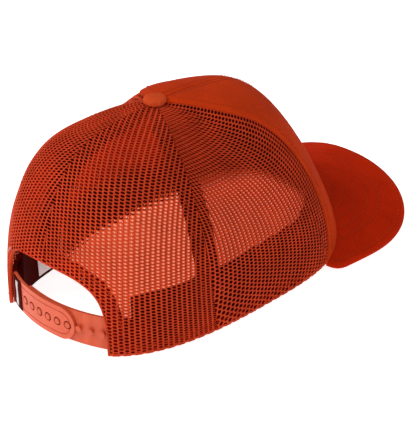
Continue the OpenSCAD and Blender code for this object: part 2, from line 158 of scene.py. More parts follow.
def t_at(a, h):
    """The t of a height over the rim."""
    share = np.clip(h / (APEX_Z - rim_z(a)), 0, 1)
    turn = np.degrees(np.arcsin(share ** (1 / waves(a, RISE))))
    return 1 - (1 - turn / 90) ** waves(a, SPREAD)


def outward(a, t):
    """The crown's normal, laid level near the rim."""
    step_t, step_a, level_t = 0.003, 0.2, 0.12
    a, t = np.broadcast_arrays(np.asarray(a, float), np.asarray(t, float))
    up = crown(a, t + step_t) - crown(a, np.maximum(t - step_t, 0))
    n = np.cross(up, crown(a + step_a, t) - crown(a - step_a, t))
    n /= np.linalg.norm(n, axis=-1, keepdims=True)
    n[..., 2] *= np.minimum(1, t / level_t)
    return n


def ripple(a, t):
    """The cloth's unevenness in mm: long waves all over, folds by the corners of the rear opening
    and creases beside the button. It fades out at the rim and under the button."""
    off = np.abs(a)
    low = 0.35 * sind(3 * a + 40) * sind(420 * t) + 0.25 * sind(7 * a + 250 * t + 20)
    folds = FOLD * sind(26 * off + 900 * t) * hill(off, *FOLD_A) * hill(t, *FOLD_T)
    sharp = np.exp(2.2 * (sind(30 * off - 420 * t) - 1))
    creases = CREASE * sharp * hill(off, *CREASE_A) * hill(t, *CREASE_T)
    return (low + folds + creases) * np.clip(t / 0.05, 0, 1) * np.clip((0.95 - t) / 0.1, 0, 1)


def layer(a, t, d):
    """Points at this depth from the crown's surface."""
    d = d + ripple(a, t)
    return crown(a, t) + d[..., None] * outward(a, t)


def front_seam(t):
    return CORNER_A - FRONT_SEAM_BOW * sind(180 * t) + SEAM_PULL * hill(t, *SEAM_PULL_T)


def rear_seam(t):
    return REAR_SEAM_A + REAR_SEAM_LEAN * t


def straight(a):
    """A seam line that stays at one angle."""
    return lambda t: a + 0 * t


def from_axis(p):
    """How far points are from the upright line through the button."""
    return np.hypot(p[..., 0], p[..., 1] - APEX_Y)


def wide(a, t, w):
    """The angle that a width covers at this place."""
    return np.degrees(w / from_axis(crown(a, t)))


def reach(a, z):
    """How far the crown is from the button's axis at this angle and height."""
    return from_axis(crown(a, t_at(a, z - rim_z(a))))


def settled(verts):
    """The set that wear gives the soft crown near its top: it sags beside and behind the button,
    and the front seam on the wearer's left is pulled back. Angles are measured at the button, and
    are positive on the wearer's left."""
    p = np.array(verts, float)
    a, r = np.degrees(np.arctan2(p[:, 0], APEX_Y - p[:, 1])), from_axis(p)
    beside = np.clip(r / 15, 0, 1)

    def above(low):
        k = np.clip((p[:, 2] - low) / 50, 0, 1)
        return k * k * (3 - 2 * k)

    def broad(x, place):
        return hill(x, *place) ** 0.5

    high, upper = above(55), above(40)
    a = a + SEAM_TURN * high * broad(a, SEAM_TURN_A)
    back = SEAM_BACK * high * broad(a, SEAM_BACK_A)
    moved = back > SEAM_BACK_LEAST
    if moved.any():
        z = np.minimum(p[moved, 2], APEX_Z - 6)
        grown = reach(a[moved] + back[moved], z) / reach(a[moved], z)
        r[moved] *= np.clip(grown, 0.9, 1.1)
    a = a + back
    p[:, 0], p[:, 1] = r * sind(a), APEX_Y - r * cosd(a)
    p[:, 2] -= FRONT_SAG * high * broad(a, FRONT_SAG_A) * broad(r, FRONT_SAG_R)
    p[:, 2] -= REAR_SAG * upper * beside * broad(np.abs(a), REAR_SAG_A) * broad(r, REAR_SAG_R)
    return p


# ---- Making meshes. A part is (verts, faces, uv) in mm, and a knit has material numbers too ----


def new_piece(name, part, body, material, replaces=()):
    verts, faces, uv = part[:3]
    verts = settled(verts) if body == "cap" else np.asarray(verts)
    mesh = bpy.data.meshes.new(name)
    mesh.from_pydata((verts * MM).tolist(), [], [list(map(int, f)) for f in faces])
    mesh.update()
    mesh.polygons.foreach_set("use_smooth", [True] * len(mesh.polygons))
    corners = np.empty(len(mesh.loops), np.int64)
    mesh.loops.foreach_get("vertex_index", corners)
    lengths = mesh.uv_layers.new(name="mm")
    lengths.data.foreach_set("uv", np.asarray(uv, float)[corners].astype(np.float32).ravel())
    for m in material if isinstance(material, list) else [material]:
        mesh.materials.append(m)
    if len(part) > 3:
        mesh.polygons.foreach_set("material_index", np.asarray(part[3], np.int32))
    piece = bpy.data.objects.new(name, mesh)
    bpy.context.scene.collection.objects.link(piece)
    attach(piece, body)
    if replaces:
        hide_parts(*replaces)
    return piece


def mirrored(part):
    verts, faces, uv = part[:3]
    faces = [f[::-1] for f in faces]
    return (verts * np.array([-1, 1, 1]), faces, uv * np.array([-1, 1])) + tuple(part[3:])


def new_pair(node_name, part, material, ending):
    """The part on the wearer's right and its mirror image on the left, each for its CAD node."""
    for hand, p in (("right", part), ("left", mirrored(part))):
        replaced = f"{node_name}_{hand}"
        new_piece(f"{replaced}_{ending}", p, "cap", material, [replaced])


def join_parts(parts):
    """Several parts as one."""
    verts, faces, uvs, n = [], [], [], 0
    for v, f, u in parts:
        verts.append(v)
        uvs.append(u)
        faces += [[i + n for i in face] for face in f]
        n += len(v)
    return np.concatenate(verts), faces, np.concatenate(uvs)


def lengths_along(path):
    steps = np.linalg.norm(np.diff(path, axis=0), axis=1)
    return np.concatenate([[0], np.cumsum(steps)])


def grid_uv(p):
    """Lengths along and across a grid of points, in mm."""
    du = np.linalg.norm(np.diff(p, axis=1), axis=-1)
    dv = np.linalg.norm(np.diff(p, axis=0), axis=-1)
    u = np.concatenate([np.zeros((len(p), 1)), np.cumsum(du, 1)], 1)
    u -= u[:, u.shape[1] // 2][:, None]
    v = np.concatenate([np.zeros((1, p.shape[1])), np.cumsum(dv, 0)], 0)
    return np.stack([u, v], -1)


def slab(outer, inner):
    """A closed solid between two grids of points, rows running up and columns to the left."""
    rows, cols = outer.shape[0] - 1, outer.shape[1] - 1
    n = (rows + 1) * (cols + 1)

    def at(i, j, side):
        return side * n + j * (cols + 1) + i

    faces = []
    for j in range(rows):
        for i in range(cols):
            faces.append([at(i, j + 1, 0), at(i + 1, j + 1, 0), at(i + 1, j, 0), at(i, j, 0)])
            faces.append([at(i + 1, j, 1), at(i + 1, j + 1, 1), at(i, j + 1, 1), at(i, j, 1)])
    for i in range(cols):
        faces.append([at(i + 1, 0, 1), at(i, 0, 1), at(i, 0, 0), at(i + 1, 0, 0)])
        faces.append([at(i, rows, 1), at(i + 1, rows, 1), at(i + 1, rows, 0), at(i, rows, 0)])
    for j in range(rows):
        faces.append([at(cols, j + 1, 1), at(cols, j, 1), at(cols, j, 0), at(cols, j + 1, 0)])
        faces.append([at(0, j, 1), at(0, j + 1, 1), at(0, j + 1, 0), at(0, j, 0)])
    uv = grid_uv(outer).reshape(-1, 2)
    verts = np.concatenate([outer.reshape(-1, 3), inner.reshape(-1, 3)])
    return verts, faces, np.concatenate([uv, uv])


def spaced(n):
    """0 to 1 in n steps that are closer together at both ends."""
    return 0.5 + 0.5 * np.sin(np.linspace(-1, 1, n + 1) * np.pi / 2)


def crown_slab(place, cells, depths, edge, puff=0.0, roll=(1, 1, 1, 1)):
    """A slab of one layer of the crown, with edges rounded over this width: place(u, v) gives
    angle and t. cells are its columns and rows, depths those of its outer and inner face, and
    roll how far the left, right, lower and upper edges are rounded."""
    d_out, d_in = depths
    u, v = np.meshgrid(spaced(cells[0]), spaced(cells[1]))
    a, t = place(u, v)
    uv = grid_uv(crown(a, t))
    x, y = uv[..., 0], uv[..., 1]
    keep = np.ones_like(x)
    for dist, r in zip((x - x[:, :1], x[:, -1:] - x, y, y[-1:] - y), roll):
        if r:
            k = np.clip(dist / (edge * r), 0, 1)
            keep = np.minimum(keep, np.sqrt(np.clip(1 - (1 - k) ** 2, 0, 1)))
    swell = puff * np.clip(4 * u * (1 - u), 0, 1) ** 0.5 * np.clip(4 * v * (1 - v), 0, 1) ** 0.5
    centre, half = (d_out + d_in) / 2, (d_out - d_in) / 2 * (0.12 + 0.88 * keep)
    return slab(layer(a, t, centre + half + swell), layer(a, t, centre - half))


def ring_faces(rings, sides):
    """The faces of a closed tube of rings of points."""
    faces = []
    for j in range(rings - 1):
        for k in range(sides):
            m = (k + 1) % sides
            low, high = j * sides, (j + 1) * sides
            faces.append([low + k, high + k, high + m, low + m])
    faces.append(list(range(sides)))
    faces.append([(rings - 1) * sides + k for k in range(sides)][::-1])
    return faces


def tube(path, normals, half_w, half_h, sides=10):
    """A tube along a path. half_h is measured along the normals and half_w across the path."""
    path, normals = np.asarray(path, float), np.asarray(normals, float)
    along = np.gradient(path, axis=0)
    along /= np.linalg.norm(along, axis=1, keepdims=True)
    across = np.cross(along, normals)
    across /= np.linalg.norm(across, axis=1, keepdims=True)
    up = np.cross(across, along)
    turn = np.arange(sides) * 2 * np.pi / sides
    n = len(path)
    to_side = np.broadcast_to(half_w, (n,))[:, None] * np.cos(turn)
    to_top = np.broadcast_to(half_h, (n,))[:, None] * np.sin(turn)
    verts = path[:, None] + across[:, None] * to_side[..., None] + up[:, None] * to_top[..., None]
    uv = np.stack([np.repeat(lengths_along(path), sides), np.tile(turn * 0.8, n)], 1)
    return verts.reshape(-1, 3), ring_faces(n, sides), uv


# Stitches: a thread's length, the gap to the next, its half width and its half height.
SEAM_STITCH = (2.4, 0.8, 0.22, 0.16)
EDGE_STITCH = (2.6, 0.9, 0.22, 0.18)
BILL_STITCH = (2.6, 0.7, 0.26, 0.20)
BILL_EDGE_STITCH = (2.6, 0.7, 0.24, 0.18)
TACK_STITCH = (4.6, 2.0, 0.40, 0.25)
STITCH_SINK, STITCH_STEP = 0.02, 0.1


def stitches(path, normals, length, gap, width, height):
    """Threads lying along a path, one short rounded thread a stitch."""
    s = lengths_along(path)
    at = np.arange(0, s[-1], STITCH_STEP)
    path, normals = (np.stack([np.interp(at, s, q[:, k]) for k in range(3)], 1)
                     for q in (path, normals))
    size, step = int(round(length / STITCH_STEP)), int(round((length + gap) / STITCH_STEP))
    shape = np.array([0.25, 0.8, 1.0, 0.8, 0.25])
    lie = np.array([-0.6, 0.4, 1.0, 0.4, -0.6])
    parts = []
    for k in range(0, len(path) - size, step):
        pick = np.linspace(k, k + size, 5).round().astype(int)
        q = path[pick] + normals[pick] * (lie * height - STITCH_SINK)[:, None]
        parts.append(tube(q, normals[pick], width * shape, height * shape, sides=6))
    return join_parts(parts)


# ---- Knitted mesh with real holes ----

CELL_W, CELL_H = 3.3, 2.1
RING = [(-1, -1), (0, -1), (1, -1), (1, 0), (1, 1), (0, 1), (-1, 1), (-1, 0)]
YARN_EDGE = [(-0.99, -0.65), (0, -0.80), (0.99, -0.65), (1.29, 0),
             (0.99, 0.65), (0, 0.80), (-0.99, 0.65), (-1.29, 0)]
HOLE_EDGE = [(x * 0.2, y * 0.2) for x, y in YARN_EDGE]
# Half the knit's thickness at a cell's sides, at its top and bottom, and at the edges of its
# yarn and its hole.
KNIT_HALF_T = (0.62, 0.42, 0.3, 0.08)
PANEL_D, FOLDED_D = -0.5, -1.9
# Points are one where they round to the same step of a mm, and a smaller face is left out.
CELL_STEPS, EDGE_STEPS, SLIVER = 50, 40, 0.02


def knit_cells(inside, x_low, x_high, y_low, y_high, clamp):
    """The lattice as flat points, each point's kind, and its quads with a material number."""
    points, kinds, quads, mats, known = [], [], [], [], {}

    def vertex(x, y, kind):
        key = (round(x * CELL_STEPS), round(y * CELL_STEPS))
        if key not in known:
            known[key] = len(points)
            points.append((x, y))
            kinds.append(kind)
        return known[key]

    for i in range(math.floor(x_low / CELL_W) - 1, math.ceil(x_high / CELL_W) + 1):
        cx = (i + 0.5) * CELL_W
        for j in range(math.floor(y_low / CELL_H) - 1, math.ceil(y_high / CELL_H) + 1):
            cy = (j + 0.5 + 0.5 * (i % 2)) * CELL_H
            if not inside(cx, cy):
                continue
            rim = [vertex(cx + x * CELL_W / 2, cy + y * CELL_H / 2, 0 if x else 1)
                   for x, y in RING]
            yarn = [vertex(cx + x, cy + y, 2) for x, y in YARN_EDGE]
            hole = [vertex(cx + x, cy + y, 3) for x, y in HOLE_EDGE]
            for k in range(8):
                m = (k + 1) % 8
                quads.append((rim[k], rim[m], yarn[m], yarn[k]))
                quads.append((yarn[k], yarn[m], hole[m], hole[k]))
                mats += [0, 1]
    return clamp(np.array(points)), np.array(kinds), np.array(quads), mats


def knit(inside, limits, clamp, to_surface, d_mid):
    """The knit as a closed part. to_surface(x, y) gives angle and t."""
    p, kinds, quads, mats = knit_cells(inside, *limits, clamp)
    keys = np.round(p * EDGE_STEPS).astype(np.int64)
    _, first, same = np.unique(keys, axis=0, return_index=True, return_inverse=True)
    p, quads = p[first], same.ravel()[quads]
    half = np.array(KNIT_HALF_T)[kinds[first]]
    a, t = to_surface(p[:, 0], p[:, 1])
    n = len(p)
    verts = np.concatenate([layer(a, t, d_mid + half), layer(a, t, d_mid - half)])
    faces, face_mats, used = [], [], {}
    for q, m in zip(quads, mats):
        ring = [x for k, x in enumerate(q) if x != q[k - 1]]
        if len(ring) < 3 or len(set(ring)) < len(ring):
            continue
        x, y = p[ring, 0], p[ring, 1]
        if abs(np.dot(x, np.roll(y, 1)) - np.dot(y, np.roll(x, 1))) < SLIVER:
            continue
        faces += [ring, [x + n for x in ring[::-1]]]
        face_mats += [m, m]
        for k in range(len(ring)):
            used[ring[k], ring[(k + 1) % len(ring)]] = m
    for (b, c), m in used.items():
        if (c, b) not in used:
            faces.append([c, b, b + n, c + n])
            face_mats.append(m)
    return verts, faces, np.concatenate([p, p]), face_mats


class SideMap:
    """Flat places on a panel: x is the distance from a line down the panel, along the rim's
    direction, and y the distance up that line."""

    ROWS, COLS, MARGIN_A = 120, 240, 12

    def __init__(self, line, low_a, high_a):
        self.ts = np.linspace(0, TOP_T, self.ROWS)
        self.ys = lengths_along(crown(line(self.ts), self.ts))
        self.angles = np.linspace(low_a - self.MARGIN_A, high_a + self.MARGIN_A, self.COLS)
        self.xs = []
        for t in self.ts:
            s = lengths_along(crown(self.angles, t))
            self.xs.append(s - np.interp(line(t), self.angles, s))

    def t_of(self, y):
        return np.interp(y, self.ys, self.ts)

    def y_of(self, t):
        return np.interp(t, self.ts, self.ys)

    def between_rows(self, t, row_value):
        """row_value(i, row) for each t, mixed from the two rows beside it."""
        k = np.clip(t / TOP_T * (self.ROWS - 1), 0, self.ROWS - 1)
        low = np.minimum(k.astype(int), self.ROWS - 2)
        out = np.empty(len(t))
        for i, (row, share) in enumerate(zip(low, k - low)):
            before, after = row_value(i, row), row_value(i, row + 1)
            out[i] = before + (after - before) * share
        return out

    def x_of(self, a, t):
        return self.between_rows(t, lambda i, row: np.interp(a[i], self.angles, self.xs[row]))

    def surface(self, x, y):
        t = self.t_of(y)
        a = self.between_rows(t, lambda i, row: np.interp(x[i], self.xs[row], self.angles))
        return a, t


def arch_t(a):
    """The t of the rear opening's upper edge at angle a, or 0 beside it."""
    off = np.clip(np.abs(180 - np.abs(a)) / ARCH_HALF_A, 0, 1)
    return t_at(a, ARCH_H * (1 - off**ARCH_POW) ** (1 / ARCH_POW))


def panel_knit(low_line, high_line, spine, low_edge=None):
    """A mesh panel between two seams. It starts at the rim, or at the t that low_edge(a) gives."""
    ts = np.linspace(0, TOP_T, 80)
    side = SideMap(spine, float(low_line(ts).min()), float(high_line(ts).max()))
    x0 = side.x_of(low_line(ts), ts) + SEAM_HALF_GAP
    x1 = side.x_of(high_line(ts), ts) - SEAM_HALF_GAP
    ys = side.y_of(ts)
    y_top = float(ys[-1])

    def edges(y):
        return np.interp(y, ys, x0), np.interp(y, ys, x1)

    def floor_y(x, y):
        if low_edge is None:
            return np.zeros_like(x)
        a, _ = side.surface(x, np.maximum(y, 0))
        return side.y_of(low_edge(a))

    def clamp(p):
        p = p.copy()
        p[:, 1] = np.clip(p[:, 1], 0, y_top)
        for _ in range(3):
            p[:, 1] = np.maximum(p[:, 1], np.minimum(floor_y(p[:, 0], p[:, 1]), y_top))
            lo, hi = edges(p[:, 1])
            p[:, 0] = np.clip(p[:, 0], lo, hi)
        return p

    def inside(x, y):
        if y < -CELL_H / 2 or y > y_top + CELL_H / 2:
            return False
        lo, hi = edges(y)
        if x < lo - CELL_W / 2 or x > hi + CELL_W / 2:
            return False
        if low_edge is None:
            return True
        return y > floor_y(np.clip([x], lo, hi), np.array([y]))[0] - CELL_H * 0.6

    limits = (float(x0.min()), float(x1.max()), 0.0, y_top)
    return knit(inside, limits, clamp, side.surface, PANEL_D)


# ---- Materials ----

BLACK, WHITE = (0, 0, 0), (1, 1, 1)


def node(tree, kind, **values):
    """A new node. Names that start with in_ are its inputs, and the others its settings."""
    n = tree.nodes.new(kind)
    for key, value in values.items():
        if key.startswith("in_"):
            n.inputs[key[3:].replace("_", " ")].default_value = value
        else:
            setattr(n, key, value)
    return n


def math_node(tree, operation, *values):
    """The result of an operation on sockets and numbers."""
    n = node(tree, "ShaderNodeMath", operation=operation)
    for k, x in enumerate(values):
        if isinstance(x, (int, float)):
            n.inputs[k].default_value = x
        else:
            tree.links.new(x, n.inputs[k])
    return n.outputs[0]


def plus(tree, a, b):
    return math_node(tree, "ADD", a, b)


def times(tree, a, b):
    return math_node(tree, "MULTIPLY", a, b)


def sine(tree, a):
    return math_node(tree, "SINE", a)


def ramp(tree, source, *stops):
    n = node(tree, "ShaderNodeValToRGB")
    while len(n.color_ramp.elements) < len(stops):
        n.color_ramp.elements.new(0.5)
    for e, (pos, colour) in zip(n.color_ramp.elements, stops):
        e.position = pos
        e.color = (*colour, 1)
    tree.links.new(source, n.inputs[0])
    return n.outputs[0]


def noise(tree, scale, detail, rough=0.55):
    coords = node(tree, "ShaderNodeTexCoord").outputs["Object"]
    n = node(tree, "ShaderNodeTexNoise", in_Scale=scale, in_Detail=detail, in_Roughness=rough)
    tree.links.new(coords, n.inputs["Vector"])
    return n.outputs["Fac"]


def scaled(colour, k, lift=0.0):
    return tuple(min(1.0, (c + lift) * k) for c in colour)


def start(name):
    m = bpy.data.materials.new(name)
    m.use_nodes = True
    return m, m.node_tree, m.node_tree.nodes["Principled BSDF"]


def finish(tree, shader, base, rough=None, **values):
    """Sets the shader's colour and roughness from sockets, and its other inputs from numbers."""
    tree.links.new(base, shader.inputs["Base Color"])
    if rough is not None:
        tree.links.new(rough, shader.inputs["Roughness"])
    for key, value in values.items():
        shader.inputs[key.replace("_", " ")].default_value = value


def bumpy(tree, shader, height, strength, distance):
    b = node(tree, "ShaderNodeBump", in_Strength=strength, in_Distance=distance)
    tree.links.new(height, b.inputs["Height"])
    tree.links.new(b.outputs[0], shader.inputs["Normal"])


def worn_edges(tree, base, low, high, share, worn):
    """The base colour, going over to the worn one where the surface is sharply convex."""
    edge = node(tree, "ShaderNodeNewGeometry").outputs["Pointiness"]
    mix = node(tree, "ShaderNodeMix", data_type="RGBA")
    sharp = ramp(tree, edge, (low, BLACK), (high, WHITE))
    tree.links.new(times(tree, sharp, share), mix.inputs[0])
    tree.links.new(base, mix.inputs[6])
    mix.inputs[7].default_value = (*worn, 1)
    return mix.outputs[2]


def cloth(name, colour, thread, sheen=0.04, rough=0.86, worn=0.12, twill=True):
    """Woven cloth: a twill or plain weave with threads this wide, uneven dye, soft sheen and
    slightly worn high places."""
    m, tree, shader = start(name)
    uv = node(tree, "ShaderNodeUVMap", uv_map="mm").outputs[0]
    split = node(tree, "ShaderNodeSeparateXYZ")
    tree.links.new(uv, split.inputs[0])
    x, y = (times(tree, split.outputs[k], 2 * math.pi / thread) for k in range(2))
    if twill:
        rib, warp = sine(tree, plus(tree, x, y)), sine(tree, times(tree, x, 2.0))
        weave = plus(tree, times(tree, rib, 0.7), times(tree, warp, 0.3))
    else:
        weave = times(tree, sine(tree, x), sine(tree, y))
    dye, slub = noise(tree, 45.0, 4.0), noise(tree, 900.0, 2.0)
    tone = plus(tree, times(tree, weave, 0.11), times(tree, slub, 0.55))
    tone = plus(tree, tone, times(tree, dye, 0.5))
    base = ramp(tree, tone, (0.28, scaled(colour, 0.72)), (0.52, colour),
                (0.8, scaled(colour, 1.25)))
    base = worn_edges(tree, base, 0.49, 0.58, worn, scaled(colour, 1.5, 0.01))
    finish(tree, shader, base, plus(tree, times(tree, slub, 0.16), rough - 0.08),
           Sheen_Weight=sheen, Sheen_Roughness=0.45,
           Sheen_Tint=(*scaled(colour, 1.6, 0.02), 1), Specular_IOR_Level=0.03)
    height = plus(tree, times(tree, weave, 0.5), times(tree, slub, 0.8))
    bumpy(tree, shader, height, 0.5, 0.00012)
    return m


def yarn(name, colour):
    """Knitted polyester: fine filaments running along the cell's ribs."""
    m, tree, shader = start(name)
    uv = node(tree, "ShaderNodeUVMap", uv_map="mm").outputs[0]
    wave = node(tree, "ShaderNodeTexWave", wave_type="BANDS", bands_direction="X",
                in_Scale=1.6, in_Distortion=2.5, in_Detail=2.0)
    tree.links.new(uv, wave.inputs["Vector"])
    ribs = wave.outputs["Fac"]
    tone = plus(tree, times(tree, ribs, 0.4), times(tree, noise(tree, 60.0, 3.0), 0.7))
    base = ramp(tree, tone, (0.25, scaled(colour, 0.7)), (0.55, colour),
                (0.85, scaled(colour, 1.35)))
    finish(tree, shader, base, plus(tree, times(tree, ribs, 0.2), 0.42), Specular_IOR_Level=0.04)
    bumpy(tree, shader, ribs, 0.35, 0.0001)
    return m


def film(name, colour):
    """Thin fuzz between the ribs of the knit, which tints what is seen through it."""
    m, tree, shader = start(name)
    base = ramp(tree, noise(tree, 400.0, 2.0), (0.3, scaled(colour, 0.85)), (0.7, colour))
    finish(tree, shader, base, Transmission_Weight=1.0, IOR=1.01, Roughness=0.05)
    return m


def moulded(name, colour, gloss=0.25):
    """Soft moulded plastic: satin, with a fine grain, faint flow marks and worn edges."""
    m, tree, shader = start(name)
    flow, grain = noise(tree, 90.0, 4.0, 0.6), noise(tree, 2600.0, 2.0)
    base = ramp(tree, flow, (0.3, scaled(colour, 0.9)), (0.55, colour),
                (0.8, scaled(colour, 1.1)))
    base = worn_edges(tree, base, 0.5, 0.6, 0.35, scaled(colour, 1.25, 0.04))
    finish(tree, shader, base, plus(tree, times(tree, grain, 0.14), 0.36),
           Specular_IOR_Level=gloss, Subsurface_Weight=0.08,
           Subsurface_Radius=(0.004, 0.0015, 0.0008))
    bumpy(tree, shader, grain, 0.12, 0.00008)
    return m


def metal(name, colour):
    m, tree, shader = start(name)
    brushed = noise(tree, 700.0, 3.0)
    base = ramp(tree, brushed, (0.3, scaled(colour, 0.8)), (0.7, colour))
    finish(tree, shader, base, plus(tree, times(tree, brushed, 0.2), 0.25), Metallic=1.0)
    return m


FRONT = cloth("front_cloth", (0.46, 0.032, 0.003), 0.6, worn=0.25)
BILL = cloth("bill_cloth", (0.45, 0.016, 0.0005), 0.6, worn=0.3)
BUTTON = cloth("button_cloth", (0.50, 0.055, 0.012), 0.5, worn=0.2)
# The lining, which also covers the welt, is dark red cloth made darker still: partly its own
# colour, partly painted shade for the inside of the cap.
LINING_DARK_AND_SHADED = cloth("lining_cloth_painted_shade", (0.05, 0.002, 0.001), 1.1, sheen=0.0, twill=False)
TAPE = cloth("tape_cloth", (0.12, 0.006, 0.002), 0.8, sheen=0.0, twill=False)
# The sweatband is dark red cloth made darker still: partly its own colour, partly painted shade
# for the inside of the cap.
BAND_DARK_AND_SHADED = cloth("sweatband_cloth", (0.055, 0.002, 0.001), 0.7, sheen=0.0)
FOAM = cloth("foam_skin", (0.72, 0.72, 0.69), 0.9, sheen=0.0, twill=False)
LABEL = cloth("loop_label_ribbon", (0.06, 0.004, 0.003), 0.35)
STRIPE = cloth("loop_label_stripe", (0.66, 0.58, 0.56), 0.35)
CARE = cloth("care_label_satin", (0.95, 0.93, 0.92), 0.3, sheen=0.1, rough=0.6)
THREAD = cloth("sewing_thread", (0.42, 0.040, 0.010), 0.25, rough=0.6)
PALE_THREAD = cloth("pale_thread", (0.62, 0.30, 0.26), 0.25, rough=0.6)
YARN = yarn("mesh_yarn", (0.50, 0.044, 0.012))
REAR_FIBRE = film("rear_mesh_fibre", (0.86, 0.17, 0.08))
# The side panels' fibre is a darker copy of the rear panels' fibre. The knit is the same: the
# darker colour is painted shade on the side panels.
SHADED_SIDE_FIBRE = film("side_mesh_fibre_painted_shade", (0.66, 0.09, 0.035))
HEM = yarn("mesh_fold_yarn", (0.52, 0.046, 0.012))
PLASTIC = moulded("strap_plastic", (0.54, 0.070, 0.020))
# The straps' sewn ends are a darker copy of the strap plastic: painted shade for where they sit
# inside the cap.
SHADED_SEWN_END = moulded("strap_sewn_end_painted_shade", (0.24, 0.014, 0.004), gloss=0.0)
RIVET = metal("rivet_sheet", (0.78, 0.78, 0.77))

# ---- Mesh panels ----

side_right = panel_knit(front_seam, rear_seam, front_seam)
rear_right = panel_knit(rear_seam, straight(180), straight(151), arch_t)
new_pair("mesh_side", side_right, [YARN, SHADED_SIDE_FIBRE], "knit")
new_pair("mesh_rear", rear_right, [YARN, REAR_FIBRE], "knit")


# ---- Doubled mesh along the rim and round the rear opening ----


def strip_knit(path_a, path_h, lean, width):
    """A strip of knit of this width beside a path on the crown. lean(k) is the width's direction
    at this share of the path: mm sideways and mm upwards for each mm."""
    s = lengths_along(crown(path_a, t_at(path_a, path_h)))
    total = float(s[-1])

    def surface(x, y):
        a, h = np.interp(x, s, path_a), np.interp(x, s, path_h)
        da, dh = lean(x / total)
        a = a + wide(a, t_at(a, h), da * y)
        return a, t_at(a, np.maximum(h + dh * y, 0.3))

    def clamp(p):
        return np.clip(p, 0, [total, width])

    def inside(x, y):
        return -CELL_W / 2 < x < total + CELL_W / 2 and -CELL_H / 2 < y < width + CELL_H / 2

    return knit(inside, (0.0, total, 0.0, width), clamp, surface, FOLDED_D)


ARCH_STEPS = 241
turn = np.linspace(0, 180, ARCH_STEPS)
arch_a = 180 - np.sign(cosd(turn)) * ARCH_HALF_A * np.abs(cosd(turn)) ** (2 / ARCH_POW)
arch_h = np.maximum(ARCH_H * np.maximum(sind(turn), 0) ** (2 / ARCH_POW), 0.3)
arch_edge_t = t_at(arch_a, arch_h)


def arch_lean(k):
    """Away from the opening: sideways at its corners and upwards over its middle."""
    a = np.interp(k, np.linspace(0, 1, ARCH_STEPS), arch_a)
    side = np.clip((180 - a) / ARCH_HALF_A, -1, 1)
    return -(side**3), np.sqrt(1 - side**6)


def straight_up(k):
    return 0 * k, 0 * k + 1


binding = strip_knit(arch_a, arch_h, arch_lean, ARCH_EDGE_W)
new_piece("arch_fold_knit", binding, "cap", [HEM, HEM], ["arch_binding"])
hem_a = np.linspace(CORNER_A + 2.6, 180 - ARCH_HALF_A - 3.2, 160)
hem = strip_knit(hem_a, 0 * hem_a + 0.4, straight_up, 6.0)
new_pair("rim_hem", hem, [HEM, HEM], "knit")

ROLL_D, ROLL_HALF_H = -1.2, 1.25
arch_path = layer(arch_a, arch_edge_t, ROLL_D)
roll = tube(arch_path, outward(arch_a, arch_edge_t), 0.75, ROLL_HALF_H)
new_piece("arch_rolled_edge", roll, "cap", YARN)
rim_a = np.linspace(CORNER_A + 1.2, 180 - ARCH_HALF_A, 140)
rim_roll = tube(layer(rim_a, t_at(rim_a, 0.9), ROLL_D), outward(rim_a, 0), 0.8, ROLL_HALF_H)
for hand, part in (("right", rim_roll), ("left", mirrored(rim_roll))):
    new_piece(f"rim_rolled_edge_{hand}", part, "cap", HEM)


# ---- Front panels, linings and tapes ----

FRONT_LOW_H, LINING_TOP_T = 0.5, 0.94
FRONT_D, LINING_D = (0.9, -1.0), (-1.35, -3.15)
TAPE_D, CENTRE_TAPE_D, TAPE_T, TAPE_LOW_H = -1.35, -3.5, 0.7, 6.35


def front_place(u, v):
    corner_t = t_at(CORNER_A, FRONT_LOW_H)
    t = corner_t + v * (TOP_T - corner_t)
    low = wide(0, t, SEAM_HALF_GAP)
    high = front_seam(t) + wide(front_seam(t), t, 0.2)
    a = low + (high - low) * u
    low_t = t_at(a, FRONT_LOW_H)
    return a, low_t + v * (TOP_T - low_t)


front = crown_slab(front_place, (90, 70), FRONT_D, 1.7, puff=0.5, roll=(1, 1.1, 0.6, 0))
new_pair("front_panel", front, FRONT, "cloth")

# The front's lower edge is rolled over the bill, and turned in behind it.
fold_a = np.linspace(-CORNER_A, CORNER_A, 200)
fold_out = outward(fold_a, t_at(fold_a, 0.5))
for name, height, depth, radius in (
    ("bill_joint_fold", 0.5, -0.1, 1.0),
    ("bill_joint_turned_in", 1.3, -2.3, 1.3),
):
    fold = tube(layer(fold_a, t_at(fold_a, height), depth), fold_out, radius, radius)
    new_piece(name, fold, "cap", FRONT)


def lining_place(u, v):
    """The lining stops short of the front seam, whose tape lies beside it."""
    t = v * LINING_TOP_T
    low = wide(0, t, SEAM_HALF_GAP)
    seam = front_seam(t)
    high = seam - np.minimum(wide(seam, t, 3.5), seam * 0.6)
    return low + (high - low) * u, t


lining = crown_slab(lining_place, (40, 40), LINING_D, 0.8)
new_pair("front_lining", lining, LINING_DARK_AND_SHADED, "cloth")


def tape(seam, before, after, low_h, d_out):
    """A tape this wide before and after a seam, up from a height over the rim."""

    def place(u, v):
        mid = seam(v * TOP_T) + 0 * u
        low_t = t_at(mid, low_h)
        t = low_t + v * (LINING_TOP_T - low_t)
        low = mid - np.minimum(wide(mid, t, before), 20)
        high = mid + np.minimum(wide(mid, t, after), 20)
        return low + (high - low) * u, t

    return crown_slab(place, (12, 60), (d_out, d_out - TAPE_T), 0.8)


ARCH_TAPE_H = ARCH_H + ARCH_EDGE_W + 0.35
for name, part in (
    ("tape_front_centre", tape(straight(0), 7, 7, SWEATBAND_H, CENTRE_TAPE_D)),
    ("tape_rear_centre", tape(straight(180), 7, 7, ARCH_TAPE_H, TAPE_D)),
):
    new_piece(f"{name}_cloth", part, "cap", TAPE, [name])
for name, part in (
    ("tape_front_side", tape(front_seam, 3.15, 9.45, TAPE_LOW_H, TAPE_D)),
    ("tape_side_rear", tape(rear_seam, 7, 7, TAPE_LOW_H, TAPE_D)),
):
    new_pair(name, part, TAPE, "cloth")

